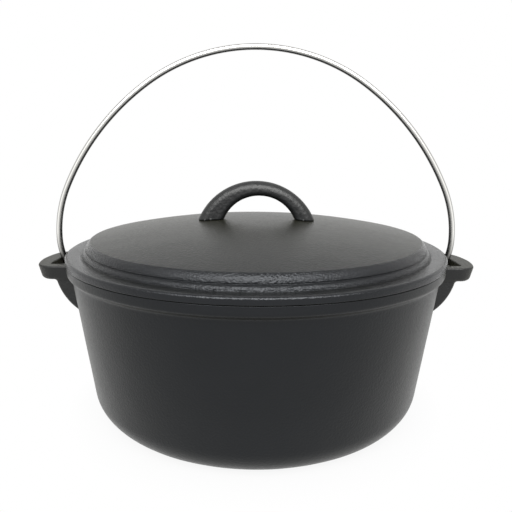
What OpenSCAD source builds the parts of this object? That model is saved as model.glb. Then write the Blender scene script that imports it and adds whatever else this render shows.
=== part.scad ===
// Flat-bottomed cast-iron camp oven with a lift-off lid and a swinging wire bail.
// Millimetres. The base stands on z = 0, the axis of the pot is Z and the ears lie on X.

/* [Pot] */
// Height of the rim above the base
pot_h = 111; // [80:1:160]
// Outer diameter of the rim, and of the lid that covers it
rim_d = 266; // [220:1:320]
// Height of the raised band around the rim, down to its sloping lower side
rim_band_h = 6.8; // [4:0.1:10]
// Height of the band's sloping lower side
rim_slope_h = 4.6; // [2:0.1:8]
// How far the band stands out from the wall
rim_band_out = 2.5; // [2:0.25:5]
// Slope of the wall, in degrees from upright
wall_taper = 7.7; // [4:0.1:11]
// Thickness of the wall
wall_t = 4.2; // [3.5:0.1:7]
// Thickness of the base
base_t = 5; // [4:0.1:8]
// Outer radius where the wall turns into the base
base_corner_r = 22; // [14:0.5:30]

/* [Ears] */
// Distance from the rim down to the top of the ears
ear_drop = 5.3; // [3.5:0.1:8]
// Depth of an ear from top to underside
ear_h = 10.3; // [7:0.1:13]
// Width of an ear along the rim
ear_w = 54.4; // [48:0.2:66]
// How far an ear reaches out past the rim
ear_reach = 23.3; // [21:0.1:28]
// Radius of the ear's curved outer edge
ear_end_r = 60; // [45:1:120]
// Radius of the ear's outer corners, seen from above
ear_corner_r = 8.3; // [6:0.1:11]
// Draft of the ear's outer faces, in degrees
ear_draft = 14; // [4:0.5:18]
// Rounding of the ear's lower edge
ear_edge_r = 2.6; // [1:0.1:3.4]
// Width of the bar outside the hole, where the bail hooks on
bar_w = 11.3; // [8:0.1:13]
// Length of the hole along the rim
hole_l = 37; // [30:0.5:40]
// Radius of the hole's corners
hole_corner_r = 2.5; // [1:0.1:4]
// Radius of the bulging underside of the gusset below an ear
gusset_r = 39.6; // [30:0.1:46]
// Width of the gusset along the rim
gusset_w = 48; // [42:0.5:50]
// How far the gusset reaches out past the rim
gusset_reach = 8.1; // [4:0.1:10]
// Distance from the top of the ear down to the gusset's widest level
gusset_drop = 1.3; // [0.5:0.1:5]
// Rounding of the gusset's edges
gusset_edge_r = 3; // [1:0.1:5]

/* [Lid] */
// Thickness of the flange that rests on the rim
flange_t = 4; // [3:0.1:6]
// Thickness of the domed plate
lid_t = 4.2; // [3.5:0.1:7]
// Distance from the rim in to the crown, the edge where the dome turns down
crown_in = 16.5; // [15:0.5:30]
// Height of the crown above the rim
crown_h = 13; // [11.5:0.1:18]
// Rise of the dome above the crown
dome_rise = 12; // [6:0.5:20]
// Depth of the bevel below the crown, down to the upper groove
bevel_h = 5.2; // [4:0.1:6]
// How far the bevel runs out from the crown
bevel_out = 3.4; // [2:0.1:5]
// Radius of the bulging bevel
bevel_r = 8; // [5:0.1:14]
// How far the bead runs out from the upper groove to the flange
bead_out = 2.6; // [1.5:0.1:3.5]
// Radius of the bulging bead
bead_r = 2.8; // [2.6:0.1:5]
// Depth of the locating lip inside the pot's mouth
lip_depth = 7; // [4:0.5:12]
// Thickness of the locating lip
lip_t = 4; // [3:0.1:6]
// Clearance between the lip and the pot's wall
lip_clear = 0.8; // [0.4:0.1:2]

/* [Lid handle] */
// Height of the arch above the top of the dome
arch_h = 27; // [24:0.5:36]
// Outer radius of the arch
arch_r = 45.5; // [40:0.5:56]
// Thickness of the grip at the top of the arch
grip_t = 10; // [8:0.1:14]
// Radius of the finger opening
opening_r = 27.4; // [22:0.1:32]
// Width of the arch from front to back
arch_w = 13; // [11:0.1:18]
// Rounding of the arch's outer edges
arch_edge_r = 5; // [2:0.1:5.4]
// Rounding of the arch's inner edges
opening_edge_r = 4.4; // [2:0.1:5.4]
// Depth of the seats that the feet stand in
seat_depth = 0.4; // [0.3:0.1:1]
// Clearance around each foot in its seat
seat_clear = 0.3; // [0.2:0.1:0.8]

/* [Handle screws] */
// Diameter of the screws
screw_d = 6; // [4:0.5:7]
// Length of screw inside the handle
screw_grip = 7; // [5:0.5:8]
// Diameter of the screw heads
screw_head_d = 11; // [8:0.5:13]
// Height of the screw heads
screw_head_h = 3.4; // [2:0.1:5]
// Rounding of the screw heads
screw_head_edge_r = 1.1; // [0.4:0.1:1.6]
// Width across the flats of the hexagon socket
socket_w = 4; // [2.5:0.5:5]
// Depth of the hexagon socket
socket_depth = 1.9; // [1:0.1:2]
// Distance that the screws are set in from the middle of the feet
screw_inset = 1.8; // [0:0.1:3]
// Radial clearance around the screws
screw_clear = 0.1; // [0.05:0.05:0.3]
// Depth of the flat spot faces under the screw heads
spot_depth = 0.8; // [0.6:0.1:1.2]
// Radial clearance around the screw heads in their spot faces
spot_clear = 0.5; // [0.3:0.1:1]

/* [Bail] */
// Diameter of the bail's wire
wire_d = 4.3; // [3.5:0.1:5.5]
// Distance from the bar's inner side in to the middle of the wire where it stands upright
bail_inset = 1.9; // [1.6:0.1:2.5]
// Centreline radius of the low stretches of the bow, next to the ears
low_r = 88.5; // [70:0.5:110]
// Angle that each low stretch turns through
low_angle = 24.8; // [15:0.1:35]
// Centreline radius of the flatter shoulders of the bow
shoulder_r = 179; // [140:1:210]
// Angle that each shoulder turns through
shoulder_angle = 30; // [20:0.5:35]
// Angle that the legs turn in to pass through the ears
bend_angle = 20; // [16:1:24]
// Centreline radius of the inward bend
bend_r = 46.5; // [36:0.5:56]
// Clearance between a leg and the bar as it passes through the hole
leg_clear = 2.4; // [2:0.1:2.8]
// Centreline radius of the hook
hook_r = 6.5; // [6:0.1:7]
// Clearance between the hook and the inner side of the ear's hole
hook_clear = 0.6; // [0.4:0.1:2]
// Length of the toe under the bar
toe_l = 5; // [3:0.1:6]
// Gap between the toe and the bar's underside
toe_gap = 0.3; // [0.2:0.05:0.6]

/* [Hidden] */
$fn = 96;
// Overlap of cutting shapes past the faces they cut
past = 1;
// Thickness of the slices that an ear is drawn through
slice_t = 0.01;
// Steps in the rounding of an ear's lower edge
edge_steps = 3;
// Extra diameter of the balls that join the stretches of the bail's wire
ball_swell = 0.1;

iron = [0.16, 0.16, 0.16];
steel = [0.78, 0.78, 0.76];
dark_steel = [0.35, 0.35, 0.35];

// Pot
rim_r = rim_d / 2;
wall_r = rim_r - rim_band_out;
cavity_r = wall_r - wall_t / cos(wall_taper);
band_z = pot_h - rim_band_h;
slope_z = band_z - rim_slope_h;
slope_in = rim_band_out + (pot_h - slope_z) * tan(wall_taper);
lip_r = cavity_r - lip_depth * tan(wall_taper) - lip_clear;

// Ears
ear_top = pot_h - ear_drop;
ear_under = ear_top - ear_h;
ear_tip = rim_r + ear_reach;
ear_end_x = ear_tip - ear_end_r;
corner_y = ear_w / 2 - ear_corner_r;
corner_x = ear_end_x + sqrt(pow(ear_end_r - ear_corner_r, 2) - pow(corner_y, 2));
end_angle = atan2(corner_y, corner_x - ear_end_x);
hole_out = ear_tip - bar_w;
gusset_x = rim_r + gusset_reach - gusset_r;
gusset_z = ear_top - gusset_drop;

// Lid, with heights above the rim
crown_r = rim_r - crown_in;
dome_r = (pow(crown_r, 2) + pow(dome_rise, 2)) / (2 * dome_rise);
dome_z = crown_h + dome_rise - dome_r;
crown_point = [crown_r, crown_h];
groove_point = [crown_r + bevel_out, crown_h - bevel_h];
bead_point = [groove_point.x + bead_out, flange_t];
lip_in_r = lip_r - lip_t;
skirt_in_r = min(lip_in_r, bead_point.x - lid_t);

// Lid handle
arch_z = pot_h + crown_h + dome_rise + arch_h - arch_r;
opening_z = arch_z + arch_r - grip_t - opening_r;
foot_z = pot_h + dome_height(arch_r);
foot_out = sqrt(pow(arch_r, 2) - pow(foot_z - arch_z, 2));
foot_in = sqrt(pow(opening_r, 2) - pow(foot_z - opening_z, 2));
foot_x = (foot_in + foot_out) / 2;
seat_tilt = asin(foot_x / dome_r);
seat_z = pot_h + dome_height(foot_x) - seat_depth;

// Handle screws
screw_x = foot_x - screw_inset;
spot_z = pot_h + plate_under(screw_x) + spot_depth;
screw_top = seat_z + screw_grip;

// Bail
wire_r = wire_d / 2;
bail_r = hole_out - bail_inset;
leg_in = wire_r / cos(bend_angle) + leg_clear - bail_inset;
bend_drop = bend_r * sin(bend_angle);
bend_in = bend_r * (1 - cos(bend_angle));
bail_z = ear_top + (leg_in - bend_in) / tan(bend_angle) + bend_drop;
pivot_z = ear_under - wire_r - toe_gap;
hook_z = pivot_z + hook_r;
hook_start = [
    bail_r - leg_in - (ear_top - hook_z - hook_r * sin(bend_angle)) * tan(bend_angle),
    hook_z + hook_r * sin(bend_angle)
];
hook_x = hook_start.x + hook_r * cos(bend_angle);
hole_in = hook_x - hook_r - wire_r - hook_clear;
toe_x = hole_out + toe_l;
top_angle = low_angle + shoulder_angle;
low_centre = [bail_r - low_r, bail_z];
shoulder_centre = low_centre + (low_r - shoulder_r) * [cos(low_angle), sin(low_angle)];
top_r = shoulder_r + shoulder_centre.x / cos(top_angle);
top_centre = [0, shoulder_centre.y + (shoulder_r - top_r) * sin(top_angle)];

// Height of the dome's upper surface above the rim, at a distance from the axis
function dome_height(r) = dome_z + sqrt(pow(dome_r, 2) - pow(r, 2));

// Height of the plate's underside above the rim, at a distance from the axis
function plate_under(r) = dome_z + sqrt(pow(dome_r - lid_t, 2) - pow(r, 2));

// Centre of an arc that bulges up and out from point a down to point b
function arc_centre(a, b, r) =
    let (half = norm(b - a) / 2, along = (b - a) / norm(b - a))
    (a + b) / 2 + [along.y, -along.x] * sqrt(pow(r, 2) - pow(half, 2));

// Half outline of a solid with drafted sides and a rounded lower edge, standing on z = 0
module drafted_half(top_r, h, draft, edge_r) {
    centre_r = top_r - (h - edge_r) * tan(draft) - edge_r / cos(draft);
    polygon([
        [0, 0],
        [centre_r, 0],
        [centre_r + edge_r * cos(draft), edge_r * (1 - sin(draft))],
        [top_r, h],
        [0, h]
    ]);
    translate([centre_r, edge_r]) circle(edge_r);
}

// Half outline of a disc of radius r and width w, with its rim edges rounded
module disc_half(r, w, edge_r) {
    translate([0, -w / 2]) square([r - edge_r, w]);
    translate([0, edge_r - w / 2]) square([r, w - 2 * edge_r]);
    for (side = [-1, 1])
        translate([r - edge_r, side * (w / 2 - edge_r)]) circle(edge_r);
}

// Disc with rounded rim edges, on an axis along Y
module upright_disc(r, w, edge_r) {
    rotate([90, 0, 0]) rotate_extrude() disc_half(r, w, edge_r);
}

// Rectangle from x0 to x1, of length l along Y, with rounded corners
module rounded_slot(x0, x1, l, corner_r) {
    translate([x0, corner_r - l / 2]) square([x1 - x0, l - 2 * corner_r]);
    translate([x0 + corner_r, -l / 2]) square([x1 - x0 - 2 * corner_r, l]);
    for (x = [x0 + corner_r, x1 - corner_r], side = [-1, 1])
        translate([x, side * (l / 2 - corner_r)]) circle(corner_r);
}

// Outline of the ear on the +X side seen from above, drawn in on all sides by a distance
module ear_plan(inset) {
    wedge_l = 2 * ear_end_r;
    translate([0, inset - ear_w / 2]) square([corner_x, ear_w - 2 * inset]);
    for (side = [-1, 1])
        translate([corner_x, side * corner_y]) circle(ear_corner_r - inset);
    translate([ear_end_x, 0]) intersection() {
        circle(ear_end_r - inset);
        polygon([[0, 0], [wedge_l, -wedge_l * tan(end_angle)], [wedge_l, wedge_l * tan(end_angle)]]);
    }
}

// Solid of one ear on the +X side, drafted and rounded below, before its hole is cut
module ear_block() {
    edge_inset = (ear_h - ear_edge_r) * tan(ear_draft) + ear_edge_r / cos(ear_draft);
    translate([0, 0, ear_under]) hull() {
        translate([0, 0, ear_h - slice_t]) linear_extrude(slice_t) ear_plan(0);
        for (step = [0 : edge_steps]) {
            turn = ear_draft + (90 - ear_draft) * step / edge_steps;
            translate([0, 0, ear_edge_r * (1 - sin(turn))])
                linear_extrude(slice_t) ear_plan(edge_inset - ear_edge_r * cos(turn));
        }
    }
}

// Gusset below the ear on the +X side
module gusset() {
    intersection() {
        translate([gusset_x, 0, gusset_z]) upright_disc(gusset_r, gusset_w, gusset_edge_r);
        translate([0, -ear_w / 2, 0]) cube([ear_tip, ear_w, ear_under + ear_h / 2]);
    }
}

// Outer turned form of the pot
module pot_outside() {
    rotate_extrude() {
        drafted_half(wall_r, pot_h, wall_taper, base_corner_r);
        polygon([
            [0, pot_h],
            [rim_r, pot_h],
            [rim_r, band_z],
            [rim_r - slope_in * (1 + past / rim_slope_h), slope_z - past],
            [0, slope_z - past]
        ]);
    }
}

// Space inside the pot
module pot_cavity() {
    cavity_h = pot_h - base_t;
    translate([0, 0, base_t]) rotate_extrude() {
        drafted_half(cavity_r, cavity_h, wall_taper, base_corner_r - wall_t);
        translate([0, cavity_h]) square([cavity_r, past]);
    }
}

module pot() {
    color(iron) difference() {
        union() {
            pot_outside();
            for (side = [0, 1]) mirror([side, 0, 0]) {
                ear_block();
                gusset();
            }
        }
        pot_cavity();
        for (side = [0, 1]) mirror([side, 0, 0])
            translate([0, 0, ear_under - gusset_r])
                linear_extrude(gusset_r + ear_h + past)
                    rounded_slot(hole_in, hole_out, hole_l, hole_corner_r);
    }
}

// Half section of the lid's outside, with the rim at z = 0
module lid_outline() {
    bevel_centre = arc_centre(crown_point, groove_point, bevel_r);
    bead_centre = arc_centre(groove_point, bead_point, bead_r);
    square([rim_r, flange_t]);
    translate([0, -lip_depth]) square([lip_r, lip_depth + flange_t]);
    intersection() {
        translate([0, flange_t]) square([rim_r, groove_point.y - flange_t]);
        union() {
            square([bead_centre.x, crown_h]);
            translate(bead_centre) circle(bead_r);
        }
    }
    intersection() {
        translate([0, groove_point.y]) square([rim_r, bevel_h + dome_rise]);
        translate([0, dome_z]) circle(dome_r, $fn = 720);
        union() {
            square([bevel_centre.x, crown_h + dome_rise]);
            translate(bevel_centre) circle(bevel_r);
        }
    }
}

// Half section of the hollow under the lid
module lid_hollow() {
    intersection() {
        translate([0, dome_z]) circle(dome_r - lid_t, $fn = 720);
        polygon([
            [0, -lip_depth - past],
            [lip_in_r, -lip_depth - past],
            [lip_in_r, 0],
            [skirt_in_r, 0],
            [crown_r - lid_t, crown_h - lid_t],
            [crown_r - lid_t, crown_h],
            [0, crown_h + dome_rise]
        ]);
    }
}

// Arch of the handle, grown on all sides by a clearance
module arch(grow) {
    difference() {
        translate([0, 0, arch_z]) upright_disc(arch_r + grow, arch_w + 2 * grow, arch_edge_r + grow);
        translate([0, 0, opening_z]) arch_opening(opening_r - grow, arch_w + 2 * grow, opening_edge_r + grow);
    }
}

// Finger opening that flares at both faces of an arch of width w
module arch_opening(r, w, edge_r) {
    rotate([90, 0, 0]) rotate_extrude() difference() {
        translate([0, -w / 2 - past]) square([r + edge_r, w + 2 * past]);
        translate([r, edge_r - w / 2]) square([edge_r + past, w - 2 * edge_r]);
        for (side = [-1, 1])
            translate([r + edge_r, side * (w / 2 - edge_r)]) circle(edge_r);
    }
}

// Space above the two seats, which follow the slope of the dome
module above_seats() {
    for (side = [-1, 1])
        translate([side * foot_x, 0, seat_z]) rotate([0, side * seat_tilt, 0])
            translate([-arch_r, -arch_w, 0]) cube([2 * arch_r, 2 * arch_w, 2 * arch_r]);
}

module lid() {
    color(iron) difference() {
        translate([0, 0, pot_h]) rotate_extrude() difference() {
            lid_outline();
            lid_hollow();
        }
        intersection() {
            arch(seat_clear);
            above_seats();
        }
        for (side = [-1, 1]) translate([side * screw_x, 0, 0]) {
            translate([0, 0, pot_h]) cylinder(r = screw_d / 2 + screw_clear, h = seat_z + seat_depth - pot_h + past);
            translate([0, 0, pot_h]) cylinder(r = screw_head_d / 2 + spot_clear, h = spot_z - pot_h);
        }
    }
}

module lid_handle() {
    color(iron) difference() {
        intersection() {
            arch(0);
            above_seats();
        }
        for (side = [-1, 1])
            translate([side * screw_x, 0, spot_z])
                cylinder(r = screw_d / 2 + screw_clear, h = screw_top - spot_z + screw_clear);
    }
}

module handle_screws() {
    color(dark_steel)
        for (side = [-1, 1]) translate([side * screw_x, 0, 0]) difference() {
            union() {
                translate([0, 0, spot_z]) cylinder(d = screw_d, h = screw_top - spot_z);
                translate([0, 0, spot_z - screw_head_h])
                    rotate_extrude() drafted_half(screw_head_d / 2, screw_head_h, 0, screw_head_edge_r);
            }
            translate([0, 0, spot_z - screw_head_h - past])
                cylinder(d = socket_w / cos(30), h = socket_depth + past, $fn = 6);
        }
}

// Bent stretch of wire in the XZ plane, about a centre, from angle a0 to angle a1
module wire_bend(centre, r, a0, a1) {
    translate([centre.x, 0, centre.y]) rotate([90, 0, 0]) rotate([0, 0, a0])
        rotate_extrude(angle = a1 - a0) translate([r, 0]) circle(d = wire_d);
}

// Straight stretch of wire in the XZ plane, from point a to point b
module wire_run(a, b) {
    translate([a.x, 0, a.y]) rotate([0, atan2(b.x - a.x, b.y - a.y), 0]) cylinder(d = wire_d, h = norm(b - a));
}

// Ball that joins two stretches of wire at a point
module wire_ball(at) {
    translate([at.x, 0, at.y]) sphere(d = wire_d + ball_swell);
}

// Low stretch, shoulder, leg and hook on the +X side
module bail_side() {
    bend_centre = [bail_r - bend_r, bail_z];
    bend_start = [bail_r, bail_z];
    bend_end = bend_centre + bend_r * [cos(bend_angle), -sin(bend_angle)];
    low_end = low_centre + low_r * [cos(low_angle), sin(low_angle)];
    shoulder_end = top_centre + top_r * [cos(top_angle), sin(top_angle)];
    hook_end = [hook_x, pivot_z];
    wire_bend(shoulder_centre, shoulder_r, low_angle, top_angle);
    wire_bend(low_centre, low_r, 0, low_angle);
    wire_bend(bend_centre, bend_r, -bend_angle, 0);
    wire_run(bend_end, hook_start);
    wire_bend([hook_x, hook_z], hook_r, 180 - bend_angle, 270);
    wire_run(hook_end, [toe_x, pivot_z]);
    for (at = [shoulder_end, low_end, bend_start, bend_end, hook_start, hook_end, [toe_x, pivot_z]])
        wire_ball(at);
}

module bail() {
    color(steel) {
        wire_bend(top_centre, top_r, top_angle, 180 - top_angle);
        for (side = [0, 1]) mirror([side, 0, 0]) bail_side();
    }
}

pot();
lid();
lid_handle();
handle_screws();
bail();
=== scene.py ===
import math

import bpy
import numpy as np
from mathutils import Matrix, Vector


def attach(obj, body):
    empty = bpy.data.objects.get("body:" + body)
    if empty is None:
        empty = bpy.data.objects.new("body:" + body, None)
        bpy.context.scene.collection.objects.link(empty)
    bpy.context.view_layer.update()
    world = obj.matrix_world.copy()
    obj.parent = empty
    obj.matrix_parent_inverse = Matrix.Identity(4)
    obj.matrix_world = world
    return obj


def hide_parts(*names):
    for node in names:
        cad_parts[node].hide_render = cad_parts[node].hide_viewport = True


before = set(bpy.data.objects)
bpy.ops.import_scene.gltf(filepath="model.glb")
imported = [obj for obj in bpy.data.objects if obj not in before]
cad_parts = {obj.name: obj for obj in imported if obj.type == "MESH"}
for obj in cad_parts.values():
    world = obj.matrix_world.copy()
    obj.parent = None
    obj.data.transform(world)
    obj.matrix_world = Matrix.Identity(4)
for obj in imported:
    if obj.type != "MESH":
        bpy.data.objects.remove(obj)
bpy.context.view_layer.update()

MM = 0.001

# Sizes of the pot, whose rim ends below the lid's seat at RIM_Z, to leave an open seam
RIM_Z = 111.0
RIM_TOP = 110.35
RIM_R = 132.6
WALL_R = 130.5
BAND_H = 6.3
SLOPE_H = 2.6
BAND_SOFT = 0.9
WALL_TAPER = math.radians(7.7)
WALL_SLOPE = math.tan(WALL_TAPER)
WALL_COS = math.cos(WALL_TAPER)
WALL_T = 4.2
BASE_T = 5.0
BASE_CORNER_R = 22.0
RIM_EDGE_R = 0.15

# Sizes of the ears
EAR_TOP = 105.7
EAR_UNDER = 95.4
EAR_HALF_W = 27.2
EAR_TIP = 156.3
EAR_END_R = 60.0
EAR_CORNER_R = 8.3
EAR_DRAFT_ANGLE = math.radians(14)
EAR_DRAFT = math.tan(EAR_DRAFT_ANGLE)
EAR_DRAFT_COS = math.cos(EAR_DRAFT_ANGLE)
EAR_TOP_EDGE_R = 0.9
EAR_LOW_EDGE_R = 2.6
HOLE_X0 = 135.7
HOLE_X1 = 145.0
HOLE_HALF_L = 18.5
HOLE_CORNER_R = 2.5
HOLE_EDGE_R = 0.7
GUSSET_X = 101.5
GUSSET_Z = 104.4
GUSSET_R = 39.6
GUSSET_HALF_W = 24.0
GUSSET_EDGE_R = 3.0
EAR_ROOT_R = 1.6

# Sizes of the lid, with heights above the rim
DOME_R = 571.52
DOME_TOP = 25.0
CROWN = (116.5, 13.0)
BEVEL_END = (119.9, 7.8)
GROOVE = (119.6, 7.45)
BEAD_START = (119.8, 7.2)
BEAD_END = (122.3, 4.0)
FLANGE_IN = 123.4
BEVEL_R = 8.0
BEAD_R = 3.5
FLANGE_EDGE_R = 1.9
FLANGE_EDGE_TURN = 15
FLANGE_LOW_R = 0.6
FLANGE_FALL = 0.1
FLANGE_T = 4.5
FLANGE_R = 133.2
SEAM_GAP = -0.25
LIP_R = 124.5
LIP_IN_R = 120.5
LIP_DEPTH = 7.0
LIP_EDGE_R = 1.0
SKIRT_IN_R = 118.3
SKIRT_R = 115.0
LID_T = 4.2
UNDER_CROWN_IN = 1.5

# Sizes of the lid's handle
ARCH_Z = 117.5
ARCH_R = 45.5
OPENING_Z = 125.2
OPENING_R = 27.5
OPENING_SHIFT = 2.0
ARCH_HALF_W = 6.5
ARCH_EDGE_R = 6.0
OPENING_EDGE_R = 3.8
FOOT_SINK = 0.3
FOOT_GAP_H = 1.1
FOOT_GAP_IN = 0.8
FOOT_EDGE_R = 0.2

# Sizes of the bail
WIRE_R = 2.15
BAIL_R = 143.1
BAIL_Z = 121.56
LOW_R = 88.5
LOW_ANGLE = 24.8
SHOULDER_R = 179.0
TOP_ANGLE = 54.8
TOP_R = 131.2
TOP_Z = 122.66
BEND_ANGLE = 20
BEND_R = 46.5
HOOK_R = 6.5
HOOK_X = 144.95
PIVOT_Z = 92.95
TOE_X = 150.0
BAIL_SHIFT = -0.5

# Camera, in metres and degrees, fitted to the photograph's outlines
CAMERA_AT = (-0.0001, -0.398, 0.1931)
CAMERA_PITCH = 12.06
CAMERA_ROLL = 0.33
CAMERA_LENS = 38.89
CAMERA_SENSOR = 36.0

TINY = 1e-9

# Small uneven waves that a sand mould leaves in a casting
WAVES = 26
WAVE_SEED = 7
WAVE_SHORTEST = 14
WAVE_LONGEST = 60
WAVE_DEPTH = 0.025
rng = np.random.default_rng(WAVE_SEED)
wave_way = rng.normal(size=(WAVES, 3))
wave_way /= np.linalg.norm(wave_way, axis=1, keepdims=True)
wave_length = rng.uniform(WAVE_SHORTEST, WAVE_LONGEST, WAVES)
wave_phase = rng.uniform(0, 2 * math.pi, WAVES)


def ripple(p):
    """Height of the casting's unevenness at each point."""
    turns = (p @ (wave_way * (2 * math.pi / wave_length)[:, None]).T) + wave_phase
    return WAVE_DEPTH * np.sin(turns).sum(axis=1) / math.sqrt(WAVES / 2)


def link_mesh(name, verts, faces):
    """Makes a smooth-shaded object from points in millimetres."""
    mesh = bpy.data.meshes.new(name)
    mesh.from_pydata((np.asarray(verts) * MM).tolist(), [], faces)
    mesh.update()
    mesh.polygons.foreach_set("use_smooth", [True] * len(mesh.polygons))
    piece = bpy.data.objects.new(name, mesh)
    bpy.context.scene.collection.objects.link(piece)
    return piece


def arc(centre, r, start, end, count):
    """Points on an arc, with angles in degrees."""
    turn = np.radians(np.linspace(start, end, count))
    return np.stack([centre[0] + r * np.cos(turn), centre[1] + r * np.sin(turn)], axis=1)


def bulge(a, b, r, count):
    """Points on an arc from a down to b that bulges up and out."""
    a, b = np.array(a), np.array(b)
    along = (b - a) / np.linalg.norm(b - a)
    half = np.linalg.norm(b - a) / 2
    centre = (a + b) / 2 + np.array([along[1], -along[0]]) * math.sqrt(r * r - half * half)
    start = math.degrees(math.atan2(*(a - centre)[::-1]))
    end = math.degrees(math.atan2(*(b - centre)[::-1]))
    return arc(centre, r, start, end, count)


SOFT_STEP = 0.05
SOFT_REACH = 4


def soften(line, sigma):
    """Rounds the corners of a section line, and spaces its points evenly."""
    line = np.asarray(line, float)
    length = np.concatenate([[0], np.cumsum(np.linalg.norm(np.diff(line, axis=0), axis=1))])
    at = np.linspace(0, length[-1], int(length[-1] / SOFT_STEP) + 2)
    even = np.stack([np.interp(at, length, line[:, k]) for k in (0, 1)], axis=1)
    reach = int(SOFT_REACH * sigma / SOFT_STEP)
    weight = np.exp(-0.5 * (np.arange(-reach, reach + 1) * SOFT_STEP / sigma) ** 2)
    weight /= weight.sum()
    padded = np.concatenate([
        2 * even[0] - even[reach:0:-1],
        even,
        2 * even[-1] - even[-2:-reach - 2:-1],
    ])
    return np.stack([np.convolve(padded[:, k], weight, "valid") for k in (0, 1)], axis=1)


SECTION_TOLERANCE = 0.012
SECTION_STEP = 4.0
# At a turn of more radians than this, points so many places to either side are kept too
SHARP_TURN = 0.2
HOLD = 3


def thin_out(line):
    """Keeps the points of a section line that its curves need."""
    keep = {0, len(line) - 1}
    todo = [(0, len(line) - 1)]
    while todo:
        i, j = todo.pop()
        if j - i < 2:
            continue
        chord = line[j] - line[i]
        size = np.linalg.norm(chord)
        off = np.abs(np.cross(chord, line[i + 1:j] - line[i])) / max(size, TINY)
        k = i + 1 + int(off.argmax())
        if off.max() > SECTION_TOLERANCE or size > SECTION_STEP:
            if off.max() <= SECTION_TOLERANCE:
                k = (i + j) // 2
            keep.add(k)
            todo += [(i, k), (k, j)]
    spaced = np.array(sorted(keep))
    way = np.diff(line[spaced], axis=0)
    turn = np.abs(np.diff(np.unwrap(np.arctan2(way[:, 1], way[:, 0]))))
    for k in spaced[1:-1][turn > SHARP_TURN]:
        keep.update((max(k - HOLD, 0), min(k + HOLD, len(line) - 1)))
    return line[sorted(keep)]


TURNS = 288


def turned(name, section):
    """Turns a section line that runs from axis to axis into a closed casting."""
    section = thin_out(section)
    ring = section[1:-1]
    turn = np.arange(TURNS) * 2 * math.pi / TURNS
    x = ring[:, :1] * np.cos(turn)
    y = ring[:, :1] * np.sin(turn)
    z = np.repeat(ring[:, 1:], TURNS, axis=1)
    verts = np.stack([x, y, z], axis=2).reshape(-1, 3)
    slope = np.gradient(section, axis=0)[1:-1]
    slope /= np.linalg.norm(slope, axis=1, keepdims=True)
    out_r, out_z = slope[:, 1:], -slope[:, :1]
    normal = np.stack([
        out_r * np.cos(turn),
        out_r * np.sin(turn),
        np.repeat(out_z, TURNS, axis=1),
    ], axis=2)
    verts = verts - normal.reshape(-1, 3) * ripple(verts)[:, None]
    ends = np.array([[0, 0, section[0, 1]], [0, 0, section[-1, 1]]])
    verts = np.concatenate([verts, ends])
    faces = []
    for i in range(len(ring) - 1):
        for k in range(TURNS):
            k2 = (k + 1) % TURNS
            faces.append((i * TURNS + k, i * TURNS + k2, (i + 1) * TURNS + k2, (i + 1) * TURNS + k))
    low, high = len(verts) - 2, len(verts) - 1
    last = (len(ring) - 1) * TURNS
    for k in range(TURNS):
        k2 = (k + 1) % TURNS
        faces.append((low, k2, k))
        faces.append((high, last + k, last + k2))
    return link_mesh(name, verts, faces)


def rounded_max(a, b, r):
    """Overlap of two forms, with a rounded edge of radius r."""
    inside = np.minimum(np.maximum(a, b), -r)
    return inside + np.hypot(np.maximum(a + r, 0), np.maximum(b + r, 0))


def rounded_min(a, b, r):
    """Two forms joined, with a fillet of radius r."""
    return -rounded_max(-a, -b, r)


CORNERS = [(i, j, k) for i in (0, 1) for j in (0, 1) for k in (0, 1)]
EDGES = [(a, b) for a in range(8) for b in range(a + 1, 8)
         if sum(abs(p - q) for p, q in zip(CORNERS[a], CORNERS[b])) == 1]
SETTLE_ROUNDS = 4


def net(name, field, low, high, step):
    """Makes the smooth surface where a field of distances is zero."""
    axes = [np.arange(a, b + step, step) for a, b in zip(low, high)]
    grid = np.stack(np.meshgrid(*axes, indexing="ij"), axis=3)
    shape = grid.shape[:3]
    value = field(grid.reshape(-1, 3)).reshape(shape)
    cut = [np.s_[0:-1], np.s_[1:]]
    corner = np.stack([value[cut[i], cut[j], cut[k]] for i, j, k in CORNERS])
    crossed = (corner.min(axis=0) < 0) & (corner.max(axis=0) >= 0)
    cell = np.argwhere(crossed)
    corner = corner[:, crossed]
    total = np.zeros((len(cell), 3))
    count = np.zeros(len(cell))
    for a, b in EDGES:
        hit = (corner[a] < 0) != (corner[b] < 0)
        gap = np.where(hit, corner[a] - corner[b], 1)
        share = np.where(hit, corner[a] / gap, 0)
        at = np.array(CORNERS[a]) + share[:, None] * (np.array(CORNERS[b]) - np.array(CORNERS[a]))
        total += at * hit[:, None]
        count += hit
    verts = np.array(low) + (cell + total / count[:, None]) * step
    for _ in range(SETTLE_ROUNDS):
        verts = settle(verts, field, step)
    index = -np.ones(crossed.shape, int)
    index[tuple(cell.T)] = np.arange(len(cell))
    faces = []
    for axis in range(3):
        u, v = (axis + 1) % 3, (axis + 2) % 3
        first = np.moveaxis(value, (axis, u, v), (0, 1, 2))
        inner = np.moveaxis(index, (axis, u, v), (0, 1, 2))
        a, b = first[:-1, 1:-1, 1:-1] < 0, first[1:, 1:-1, 1:-1] < 0
        ring = [inner[:, :-1, :-1], inner[:, 1:, :-1], inner[:, 1:, 1:], inner[:, :-1, 1:]]
        quads = np.stack(ring, axis=3)
        faces += quads[a & ~b].tolist()
        faces += quads[~a & b][:, ::-1].tolist()
    return link_mesh(name, verts, faces)


PROBE = 0.02
LEAST_STEEP = 0.2


def settle(verts, field, step):
    """Moves points straight onto the surface where a field is zero."""
    value = field(verts)
    slope = np.zeros_like(verts)
    for axis in range(3):
        shift = np.zeros(3)
        shift[axis] = PROBE
        slope[:, axis] = (field(verts + shift) - field(verts - shift)) / (2 * PROBE)
    steep = np.maximum((slope ** 2).sum(axis=1), LEAST_STEEP)
    move = slope * (value / steep)[:, None]
    size = np.linalg.norm(move, axis=1, keepdims=True)
    return verts - move * np.minimum(1, 0.5 * step / np.maximum(size, TINY))


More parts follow.
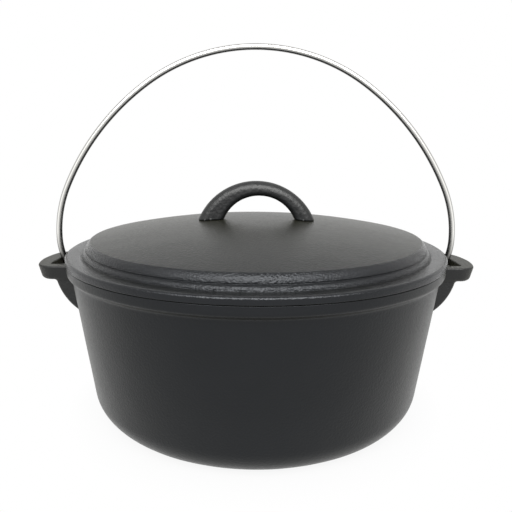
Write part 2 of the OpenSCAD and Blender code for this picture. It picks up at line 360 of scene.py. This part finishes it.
# Shape of the pot

POT_SOFT = 0.1


def wall_at(z):
    """Radius of the pot's wall at a height."""
    return WALL_R - (RIM_Z - z) * WALL_SLOPE


def pot_section():
    """Section of the pot, from the axis under the base to the axis inside it."""
    band_low = RIM_Z - BAND_H
    slope_low = band_low - SLOPE_H
    corner_r = wall_at(BASE_CORNER_R) - BASE_CORNER_R / WALL_COS
    in_r = WALL_R - WALL_T / WALL_COS
    in_corner = BASE_CORNER_R - WALL_T
    in_corner_z = BASE_T + in_corner
    in_corner_r = in_r - (RIM_Z - in_corner_z) * WALL_SLOPE - in_corner / WALL_COS
    taper = math.degrees(WALL_TAPER)
    outside = soften(np.concatenate([
        [(0, 0), (corner_r, 0)],
        arc((corner_r, BASE_CORNER_R), BASE_CORNER_R, -90, -taper, count=30),
        [(wall_at(slope_low), slope_low), (RIM_R, band_low), (RIM_R, RIM_TOP - RIM_EDGE_R)],
    ]), BAND_SOFT)
    inside = soften(np.concatenate([
        arc((RIM_R - RIM_EDGE_R, RIM_TOP - RIM_EDGE_R), RIM_EDGE_R, 0, 90, count=8),
        arc((in_r + RIM_EDGE_R, RIM_TOP - RIM_EDGE_R), RIM_EDGE_R, 90, 180 - taper, count=8),
        arc((in_corner_r, in_corner_z), in_corner, -taper, -90, count=24),
        [(0, BASE_T)],
    ]), POT_SOFT)
    return np.concatenate([outside, inside[1:]])


def wall_field(p):
    """Distance from the pot's turned outside."""
    r = np.hypot(p[:, 0], p[:, 1])
    z = p[:, 2]
    cone = (r - wall_at(z)) * WALL_COS
    slope_low = RIM_Z - BAND_H - SLOPE_H
    run = np.array([RIM_R - wall_at(slope_low), SLOPE_H])
    out, down = run[::-1] / np.linalg.norm(run)
    slope = (r - RIM_R) * out - (z - RIM_Z + BAND_H) * down
    band = rounded_max(r - RIM_R, slope, BAND_SOFT)
    return rounded_min(cone, band, BAND_SOFT)


# How deep an ear's mesh goes into the wall, how far its fillet spreads, and how deep that ends under the wall
EAR_KEEP_IN = 2.2
EAR_SPREAD = 3.2
EAR_HIDE = 0.06
# Small pits in the top of each ear near its root, as x, y and radius
PITS = [(135.2, -21.0, 1.1), (137.6, -23.4, 0.6), (134.9, 20.6, 0.9)]
PIT_EDGE_R = 0.2


def ear_field(p, side):
    """Distance from the ear on one side, with the fillets that run onto the wall."""
    x, y, z = p[:, 0] * side, p[:, 1], p[:, 2]
    flank = np.abs(y) - (EAR_HALF_W - EAR_CORNER_R)
    end = np.hypot(x - EAR_TIP + EAR_END_R, y) - (EAR_END_R - EAR_CORNER_R)
    plan = np.hypot(np.maximum(flank, 0), np.maximum(end, 0)) + np.minimum(np.maximum(flank, end), 0)
    plan = (plan - EAR_CORNER_R + (EAR_TOP - z) * EAR_DRAFT) * EAR_DRAFT_COS
    block = rounded_max(plan, EAR_UNDER - z, EAR_LOW_EDGE_R)
    block = rounded_max(block, z - EAR_TOP, EAR_TOP_EDGE_R)
    disc = np.hypot(x - GUSSET_X, z - GUSSET_Z) - GUSSET_R
    gusset = rounded_max(disc, np.abs(y) - GUSSET_HALF_W, GUSSET_EDGE_R)
    gusset = np.maximum(gusset, z - (EAR_TOP + EAR_UNDER) / 2)
    form = rounded_min(block, gusset, EAR_ROOT_R)
    mid = (HOLE_X0 + HOLE_X1) / 2
    hole_x = np.abs(x - mid) - (HOLE_X1 - HOLE_X0) / 2
    hole = rounded_max(hole_x, np.abs(y) - HOLE_HALF_L, HOLE_CORNER_R)
    pierced = rounded_max(form, -hole, HOLE_EDGE_R)
    for pit_x, pit_y, pit_r in PITS:
        at = np.stack([x - pit_x, y - pit_y, z - EAR_TOP], axis=1)
        pierced = rounded_max(pierced, pit_r - np.linalg.norm(at, axis=1), PIT_EDGE_R)
    wall = wall_field(p)
    cast = rounded_min(pierced, wall, EAR_ROOT_R) + EAR_HIDE
    cast = np.maximum(cast, -wall - EAR_KEEP_IN)
    return np.maximum(cast, form - EAR_SPREAD) + ripple(p)


# Box that holds the right ear, and the step of its net
EAR_BOX_IN = 104
EAR_BOX_OUT = 159
EAR_BOX_HALF = 32
EAR_BOX_LOW = 66
EAR_BOX_HIGH = 108
EAR_STEP = 0.62


def make_ear(name, side):
    """Makes the ear on one side."""
    ends = (side * EAR_BOX_IN, side * EAR_BOX_OUT)
    low = (min(ends), -EAR_BOX_HALF, EAR_BOX_LOW)
    high = (max(ends), EAR_BOX_HALF, EAR_BOX_HIGH)
    return net(name, lambda p: ear_field(p, side), low, high, EAR_STEP)


# Shape of the lid

LID_SOFT = 0.2


def lid_section():
    """Section of the lid, from the axis under the dome to the axis above it."""
    def dome(r, depth):
        return DOME_TOP - DOME_R + math.sqrt((DOME_R - depth) ** 2 - r * r)

    edge_in = FLANGE_R - FLANGE_EDGE_R * math.cos(math.radians(FLANGE_EDGE_TURN))
    under = [(r, dome(r, LID_T)) for r in np.linspace(0, CROWN[0] - LID_T - UNDER_CROWN_IN, 40)]
    over = [(r, dome(r, 0)) for r in np.linspace(CROWN[0], 0, 60)]
    parts = [
        under,
        [(CROWN[0] - LID_T, CROWN[1] - LID_T), (SKIRT_IN_R, SEAM_GAP), (LIP_IN_R, SEAM_GAP)],
        arc((LIP_IN_R + LIP_EDGE_R, LIP_EDGE_R - LIP_DEPTH), LIP_EDGE_R, 180, 270, count=8),
        arc((LIP_R - LIP_EDGE_R, LIP_EDGE_R - LIP_DEPTH), LIP_EDGE_R, -90, 0, count=8),
        [(LIP_R, SEAM_GAP)],
        arc((FLANGE_R - FLANGE_LOW_R, SEAM_GAP + FLANGE_LOW_R), FLANGE_LOW_R, -90, 0, count=8),
        arc((edge_in, FLANGE_T - FLANGE_EDGE_R), FLANGE_EDGE_R, FLANGE_EDGE_TURN, 90, count=12),
        [(FLANGE_IN, FLANGE_T - FLANGE_FALL)],
        bulge(BEAD_START, BEAD_END, BEAD_R, count=14)[::-1],
        [GROOVE],
        bulge(CROWN, BEVEL_END, BEVEL_R, count=16)[::-1],
        over,
    ]
    line = soften(np.concatenate([np.asarray(p, float) for p in parts]), LID_SOFT)
    return line + np.array([0, RIM_Z])


def dome_height(p):
    """Height of the dome above each point."""
    return RIM_Z + DOME_TOP - DOME_R + np.sqrt(DOME_R ** 2 - p[:, 0] ** 2 - p[:, 1] ** 2)


# Burrs of iron left under the feet, as x, y and radius
BURRS = [(-37.0, -6.6, 0.55), (-32.6, -6.9, 0.6), (33.6, -6.7, 0.5)]
BURR_FILLET_R = 0.3
# Box that holds the handle, and the step of its net
HANDLE_LOW = (-48, -9, 129)
HANDLE_HIGH = (48, 9, 165)
HANDLE_STEP = 0.5


def handle_field(p):
    """Distance from the arch of the lid's handle."""
    x, y, z = p[:, 0], p[:, 1], p[:, 2]
    outside = np.hypot(x, z - ARCH_Z) - ARCH_R
    opening = OPENING_R - np.hypot(x - OPENING_SHIFT, z - OPENING_Z)
    face = np.abs(y) - ARCH_HALF_W
    arch = np.maximum(
        rounded_max(outside, face, ARCH_EDGE_R),
        rounded_max(opening, face, OPENING_EDGE_R),
    )
    height = z - dome_height(p)
    arch = arch + FOOT_GAP_IN * np.clip(1 - height / FOOT_GAP_H, 0, 1) ** 2
    for burr_x, burr_y, burr_r in BURRS:
        at = np.stack([x - burr_x, y - burr_y, height - burr_r], axis=1)
        arch = rounded_min(arch, np.linalg.norm(at, axis=1) - burr_r, BURR_FILLET_R)
    return rounded_max(arch, -FOOT_SINK - height, FOOT_EDGE_R) + ripple(p)


# Shape of the bail

TOE_POINTS = 13


def bail_path():
    """Centreline of the bail's wire, from toe to toe."""
    bend = np.array([BAIL_R - BEND_R, BAIL_Z])
    hook = np.array([HOOK_X, PIVOT_Z + HOOK_R])
    low = np.array([BAIL_R - LOW_R, BAIL_Z])
    low_way = np.array([math.cos(math.radians(LOW_ANGLE)), math.sin(math.radians(LOW_ANGLE))])
    shoulder = low + (LOW_R - SHOULDER_R) * low_way
    side = np.concatenate([
        np.stack([np.linspace(TOE_X, HOOK_X, TOE_POINTS + 1)[:-1], np.full(TOE_POINTS, PIVOT_Z)], axis=1),
        arc(hook, HOOK_R, 270, 180 - BEND_ANGLE, count=30),
        arc(bend, BEND_R, -BEND_ANGLE, 0, count=24)[:-1],
        arc(low, LOW_R, 0, LOW_ANGLE, count=34)[:-1],
        arc(shoulder, SHOULDER_R, LOW_ANGLE, TOP_ANGLE, count=70)[:-1],
    ])
    top = arc((0, TOP_Z), TOP_R, TOP_ANGLE, 180 - TOP_ANGLE, count=140)
    other = side[::-1] * np.array([-1, 1])
    return np.concatenate([side, top, other]) + np.array([BAIL_SHIFT, 0])


WIRE_SIDES = 28
CAP_RINGS = 6


def make_bail(name):
    """Sweeps a round wire along its centreline, with rounded ends."""
    path = bail_path()
    way = np.gradient(path, axis=0)
    way /= np.linalg.norm(way, axis=1, keepdims=True)
    cap = np.radians(np.linspace(0, 90, CAP_RINGS + 1)[1:-1])
    rings = [(path[0] - way[0] * WIRE_R * math.cos(a), way[0], math.sin(a)) for a in cap]
    rings += [(at, along, 1.0) for at, along in zip(path, way)]
    rings += [(path[-1] + way[-1] * WIRE_R * math.cos(a), way[-1], math.sin(a)) for a in cap[::-1]]
    turn = np.arange(WIRE_SIDES) * 2 * math.pi / WIRE_SIDES
    verts = []
    for at, along, share in rings:
        across = np.array([-along[1], along[0]])
        flat = WIRE_R * share * np.cos(turn)
        verts += np.stack([
            at[0] + across[0] * flat,
            WIRE_R * share * np.sin(turn),
            at[1] + across[1] * flat,
        ], axis=1).tolist()
    first = path[0] - way[0] * WIRE_R
    last = path[-1] + way[-1] * WIRE_R
    verts += [[first[0], 0, first[1]], [last[0], 0, last[1]]]
    faces = []
    for i in range(len(rings) - 1):
        for k in range(WIRE_SIDES):
            k2 = (k + 1) % WIRE_SIDES
            a, b = i * WIRE_SIDES, (i + 1) * WIRE_SIDES
            faces.append((a + k, b + k, b + k2, a + k2))
    end = (len(rings) - 1) * WIRE_SIDES
    for k in range(WIRE_SIDES):
        k2 = (k + 1) % WIRE_SIDES
        faces.append((len(verts) - 2, k, k2))
        faces.append((len(verts) - 1, end + k2, end + k))
    piece = link_mesh(name, verts, faces)
    length = np.concatenate([[0], np.cumsum(np.linalg.norm(np.diff(path, axis=0), axis=1))])
    ring_length = np.concatenate([[0] * (CAP_RINGS - 1), length, [length[-1]] * (CAP_RINGS - 1)])
    uv = piece.data.uv_layers.new(name="along_wire")
    for polygon in piece.data.polygons:
        sides = [v % WIRE_SIDES for v in polygon.vertices]
        wraps = max(sides) - min(sides) > 1
        for loop in polygon.loop_indices:
            v = piece.data.loops[loop].vertex_index
            row, side = divmod(v, WIRE_SIDES)
            if row >= len(ring_length):
                uv.data[loop].uv = (0, 0)
                continue
            around = 1.0 if wraps and side == 0 else side / WIRE_SIDES
            uv.data[loop].uv = (around, ring_length[row] * MM)
    return piece


# Materials

def new_material(name):
    """A material with its shader node, and a function that adds nodes to it."""
    material = bpy.data.materials.new(name)
    material.use_nodes = True
    tree = material.node_tree
    shader = tree.nodes["Principled BSDF"]

    def add(kind, links=(), **values):
        node = tree.nodes.new(kind)
        for key, value in values.items():
            if hasattr(node, key):
                setattr(node, key, value)
            else:
                node.inputs[key.replace("_", " ")].default_value = value
        for source, target in links:
            tree.links.new(source, node.inputs[target])
        return node

    return material, shader, add, tree.links.new


IRON_DARK = (0.002, 0.0023, 0.0028, 1)
IRON_PALE = (0.0038, 0.0042, 0.005, 1)
COOL_SHINE = (0.93, 0.96, 1.0, 1)
PLAIN_SHINE = (1.0, 1.0, 0.98, 1)
BLOOM_TONE = (1.0, 0.97, 0.4, 1)
BLOOM_ROUGH = 0.5
PATCH_SCALE = 26.0
ROUGH_SPREAD = 0.09
# Scale of the uneven sheen and of the pits, as shares of the grain's
SHEEN_SHARE = 0.4
PIT_SHARE = 0.55
BUMP_STRENGTH = 0.6


def cast_iron(name, shine, grain, depth, rough, gloss, bloom):
    """Black seasoned iron with a cast grain of so many grains to the metre."""
    material, shader, add, link = new_material(name)
    where = add("ShaderNodeTexCoord").outputs["Object"]
    patch = add("ShaderNodeTexNoise", [(where, "Vector")], Scale=PATCH_SCALE, Detail=4.0, Roughness=0.6)
    tone = add("ShaderNodeMix", [(patch.outputs["Fac"], "Factor")], data_type="RGBA")
    tone.inputs[6].default_value = IRON_DARK
    tone.inputs[7].default_value = IRON_PALE
    link(tone.outputs[2], shader.inputs["Base Color"])
    sheen_scale = grain * SHEEN_SHARE
    sheen = add("ShaderNodeTexNoise", [(where, "Vector")], Scale=sheen_scale, Detail=3.0, Roughness=0.6)
    spread = add("ShaderNodeMapRange", [(sheen.outputs["Fac"], "Value")])
    spread.inputs["To Min"].default_value = rough - ROUGH_SPREAD
    spread.inputs["To Max"].default_value = rough + ROUGH_SPREAD
    link(spread.outputs["Result"], shader.inputs["Roughness"])
    fine = add("ShaderNodeTexNoise", [(where, "Vector")], Scale=grain, Detail=5.0, Roughness=0.62)
    pit = add("ShaderNodeTexVoronoi", [(where, "Vector")], Scale=grain * PIT_SHARE)
    heights = [(fine.outputs["Fac"], 0), (pit.outputs["Distance"], 1)]
    rise = add("ShaderNodeMath", heights, operation="ADD")
    bump = add("ShaderNodeBump", [(rise.outputs["Value"], "Height")], Strength=BUMP_STRENGTH, Distance=depth)
    link(bump.outputs["Normal"], shader.inputs["Normal"])
    shader.inputs["Specular IOR Level"].default_value = gloss
    shader.inputs["Specular Tint"].default_value = shine
    shader.inputs["Sheen Weight"].default_value = bloom
    shader.inputs["Sheen Roughness"].default_value = BLOOM_ROUGH
    shader.inputs["Sheen Tint"].default_value = BLOOM_TONE
    return material


# Painted reflection across the wire, from its outer to its inner side, as place and tone: a bright painted
# highlight on each flank between darker sides
WIRE_PAINTED_BANDS = [
    (0.0, 0.46), (0.22, 0.46), (0.34, 0.98), (0.43, 0.95), (0.54, 0.56), (0.68, 0.46), (1.0, 0.46),
]
WIRE_TINT = (1.0, 0.99, 0.95)
WIRE_SMOOTH = 0.18
WIRE_ROUGH = 0.26
# Lines along the wire, as repeats around it and to the metre
WIRE_LINES = (34, 60, 1)
# Darkening towards the wire's ends, where they sit in the ears' holes, with distances from the wire's ends
WIRE_END_DARK = 0.3
WIRE_END_DARK_FROM = 24.0
WIRE_END_DARK_TO = 42.0


def drawn_steel(name, length):
    """Bright steel wire whose tone around it is a painted reflection, with a painted highlight on each flank,
    and fine lines along its length.
    """
    material, shader, add, link = new_material(name)
    where = add("ShaderNodeUVMap", uv_map="along_wire").outputs["UV"]
    around = add("ShaderNodeSeparateXYZ", [(where, "Vector")])
    # The tone around the wire is a painted reflection, with a bright painted highlight on each flank
    painted_bands = add("ShaderNodeValToRGB", [(around.outputs["X"], "Fac")])
    half = [(math.acos(2 * at - 1) / (2 * math.pi), tone) for at, tone in WIRE_PAINTED_BANDS[::-1]]
    both = half + [(1 - at, tone) for at, tone in half[-2::-1]]
    stops = painted_bands.color_ramp.elements
    while len(stops) < len(both):
        stops.new(0.5)
    for stop, (at, tone) in zip(stops, both):
        stop.position = at
        stop.color = tuple(tone * c for c in WIRE_TINT) + (1,)
    from_far = add("ShaderNodeMath", [(around.outputs["Y"], 1)], operation="SUBTRACT")
    from_far.inputs[0].default_value = length * MM
    both_ends = [(around.outputs["Y"], 0), (from_far.outputs["Value"], 1)]
    from_end = add("ShaderNodeMath", both_ends, operation="MINIMUM")
    # The wire's tone darkens towards its ends, where they sit in the ears' holes
    near_end = add("ShaderNodeMapRange", [(from_end.outputs["Value"], "Value")])
    near_end.inputs["From Min"].default_value = WIRE_END_DARK_FROM * MM
    near_end.inputs["From Max"].default_value = WIRE_END_DARK_TO * MM
    near_end.inputs["To Min"].default_value = WIRE_END_DARK
    tones = [(near_end.outputs["Result"], "Factor"), (painted_bands.outputs["Color"], 7)]
    end_darkened = add("ShaderNodeMix", tones, data_type="RGBA")
    end_darkened.inputs[6].default_value = (0, 0, 0, 1)
    link(end_darkened.outputs[2], shader.inputs["Base Color"])
    stretch = add("ShaderNodeMapping", [(where, "Vector")])
    stretch.inputs["Scale"].default_value = WIRE_LINES
    line = add("ShaderNodeTexNoise", [(stretch.outputs["Vector"], "Vector")], Scale=1.0, Detail=4.0)
    spread = add("ShaderNodeMapRange", [(line.outputs["Fac"], "Value")])
    spread.inputs["To Min"].default_value = WIRE_SMOOTH
    spread.inputs["To Max"].default_value = WIRE_ROUGH
    link(spread.outputs["Result"], shader.inputs["Roughness"])
    shader.inputs["Metallic"].default_value = 1.0
    return material


SCREW_DARK = (0.05, 0.05, 0.052, 1)
SCREW_PALE = (0.13, 0.125, 0.12, 1)
SCREW_SMOOTH = 0.3
SCREW_ROUGH = 0.5
SCREW_SCALE = 420.0


def dark_steel(name):
    """Oiled steel of the screws under the lid."""
    material, shader, add, link = new_material(name)
    where = add("ShaderNodeTexCoord").outputs["Object"]
    patch = add("ShaderNodeTexNoise", [(where, "Vector")], Scale=SCREW_SCALE, Detail=4.0)
    tone = add("ShaderNodeMix", [(patch.outputs["Fac"], "Factor")], data_type="RGBA")
    tone.inputs[6].default_value = SCREW_DARK
    tone.inputs[7].default_value = SCREW_PALE
    link(tone.outputs[2], shader.inputs["Base Color"])
    spread = add("ShaderNodeMapRange", [(patch.outputs["Fac"], "Value")])
    spread.inputs["To Min"].default_value = SCREW_SMOOTH
    spread.inputs["To Max"].default_value = SCREW_ROUGH
    link(spread.outputs["Result"], shader.inputs["Roughness"])
    shader.inputs["Metallic"].default_value = 1.0
    return material


# Pieces

body_iron = cast_iron(
    "seasoned_iron_body", COOL_SHINE,
    grain=1300.0, depth=0.00011, rough=0.33, gloss=0.268, bloom=0.008,
)
lid_iron = cast_iron(
    "seasoned_iron_lid", COOL_SHINE,
    grain=1300.0, depth=0.00018, rough=0.34, gloss=0.285, bloom=0.015,
)
skirt_iron = cast_iron(
    "seasoned_iron_skirt", COOL_SHINE,
    grain=1500.0, depth=0.00042, rough=0.17, gloss=0.3, bloom=0.004,
)
flange_iron = cast_iron(
    "seasoned_iron_flange", COOL_SHINE,
    grain=1600.0, depth=0.00022, rough=0.19, gloss=0.31, bloom=0.003,
)
ear_iron = cast_iron(
    "seasoned_iron_ears", PLAIN_SHINE,
    grain=1300.0, depth=0.00025, rough=0.46, gloss=0.39, bloom=0.02,
)
handle_iron = cast_iron(
    "seasoned_iron_handle", PLAIN_SHINE,
    grain=700.0, depth=0.0003, rough=0.42, gloss=0.43, bloom=0.01,
)
wire_length = np.linalg.norm(np.diff(bail_path(), axis=0), axis=1).sum()
wire_steel = drawn_steel("bare_steel_wire", wire_length)
screw_steel = dark_steel("oiled_screw_steel")


def place(piece, material, body, node):
    """Dresses a piece, and lets it ride on a body in place of a CAD node."""
    piece.data.materials.append(material)
    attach(piece, body)
    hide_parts(node)


place(turned("pot_body", pot_section()), body_iron, "pot", "pot")
place(make_ear("ear_right", 1), ear_iron, "pot", "pot")
place(make_ear("ear_left", -1), ear_iron, "pot", "pot")
cover = turned("lid_cover", lid_section())
place(cover, lid_iron, "lid", "lid")
cover.data.materials.append(skirt_iron)
cover.data.materials.append(flange_iron)
for polygon in cover.data.polygons:
    at = polygon.center / MM
    if at.z < RIM_Z + CROWN[1]:
        polygon.material_index = int(at.xy.length > SKIRT_R) + int(at.xy.length > FLANGE_IN)
handle = net("lid_arch", handle_field, HANDLE_LOW, HANDLE_HIGH, HANDLE_STEP)
place(handle, handle_iron, "lid", "lid_handle")
place(make_bail("bail_wire"), wire_steel, "bail", "bail")

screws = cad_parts["handle_screws"]
screws.data.materials.clear()
screws.data.materials.append(screw_steel)


# Floor, light and camera, in metres

STUDIO_WHITE = (1.0, 1.0, 1.0, 1)
FLOOR_HALF = 5.0
FLOOR_DROP = 0.0002
# Share of plain white in the floor beside the oven and away from it, as distance and share
WHITE_NEAR = (0.09, 0.86)
WHITE_FAR = (0.14, 1.0)
FLOOR_GREY = (0.38, 0.38, 0.38, 1)


def make_floor():
    """A white floor that keeps the oven's shadow, seen alike by the camera and in the iron."""
    mesh = bpy.data.meshes.new("floor")
    corners = [(x, y, -FLOOR_DROP) for x, y in
               ((-FLOOR_HALF, -FLOOR_HALF), (FLOOR_HALF, -FLOOR_HALF),
                (FLOOR_HALF, FLOOR_HALF), (-FLOOR_HALF, FLOOR_HALF))]
    mesh.from_pydata(corners, [], [(0, 1, 2, 3)])
    floor = bpy.data.objects.new("floor", mesh)
    bpy.context.scene.collection.objects.link(floor)
    material = bpy.data.materials.new("pale_floor")
    material.use_nodes = True
    tree = material.node_tree
    tree.nodes.clear()
    matte = tree.nodes.new("ShaderNodeBsdfDiffuse")
    matte.inputs["Color"].default_value = FLOOR_GREY
    white = tree.nodes.new("ShaderNodeEmission")
    white.inputs["Color"].default_value = STUDIO_WHITE
    where = tree.nodes.new("ShaderNodeTexCoord")
    away = tree.nodes.new("ShaderNodeVectorMath")
    away.operation = "LENGTH"
    tree.links.new(where.outputs["Object"], away.inputs[0])
    path = tree.nodes.new("ShaderNodeLightPath")

    def join(kind, a, b):
        node = tree.nodes.new("ShaderNodeMath")
        node.operation = kind
        tree.links.new(a, node.inputs[0])
        tree.links.new(b, node.inputs[1])
        return node.outputs["Value"]

    fade = tree.nodes.new("ShaderNodeMapRange")
    fade.inputs["From Min"].default_value, fade.inputs["To Min"].default_value = WHITE_NEAR
    fade.inputs["From Max"].default_value, fade.inputs["To Max"].default_value = WHITE_FAR
    tree.links.new(away.outputs["Value"], fade.inputs["Value"])
    mirrored = join("MAXIMUM", path.outputs["Is Glossy Ray"], path.outputs["Is Transmission Ray"])
    seen = join("MAXIMUM", path.outputs["Is Camera Ray"], mirrored)
    share = join("MULTIPLY", fade.outputs["Result"], seen)
    mix = tree.nodes.new("ShaderNodeMixShader")
    tree.links.new(share, mix.inputs["Fac"])
    tree.links.new(matte.outputs["BSDF"], mix.inputs[1])
    tree.links.new(white.outputs["Emission"], mix.inputs[2])
    out = tree.nodes.new("ShaderNodeOutputMaterial")
    tree.links.new(mix.outputs["Shader"], out.inputs["Surface"])
    mesh.materials.append(material)


def make_world():
    """A plain white surround."""
    world = bpy.data.worlds.new("studio_surround")
    world.use_nodes = True
    white = world.node_tree.nodes["Background"]
    white.inputs["Color"].default_value = STUDIO_WHITE
    white.inputs["Strength"].default_value = 1.0
    bpy.context.scene.world = world


LAMP_AIM = Vector((0, 0, 0.11))
LAMP_AT = (0, -1.12, 1.14)
LAMP_WIDTH = 2.3
LAMP_HEIGHT = 0.92
LAMP_POWER = 62


def softbox(name, at, width, height, power):
    """A soft lamp that points at the oven."""
    data = bpy.data.lights.new(name, "AREA")
    data.shape = "RECTANGLE"
    data.size = width
    data.size_y = height
    data.energy = power
    lamp = bpy.data.objects.new(name, data)
    lamp.location = at
    lamp.rotation_euler = (LAMP_AIM - Vector(at)).to_track_quat("-Z", "Y").to_euler()
    bpy.context.scene.collection.objects.link(lamp)


make_floor()
make_world()
softbox("lamp_front", LAMP_AT, LAMP_WIDTH, LAMP_HEIGHT, LAMP_POWER)

camera_data = bpy.data.cameras.new("camera")
camera_data.lens = CAMERA_LENS
camera_data.sensor_width = CAMERA_SENSOR
camera = bpy.data.objects.new("camera", camera_data)
tilt = Matrix.Rotation(math.radians(90 - CAMERA_PITCH), 4, "X")
roll = Matrix.Rotation(math.radians(CAMERA_ROLL), 4, "Z")
camera.matrix_world = Matrix.Translation(CAMERA_AT) @ tilt @ roll
bpy.context.scene.collection.objects.link(camera)
bpy.context.scene.camera = camera
bpy.context.scene.view_settings.view_transform = "Standard"
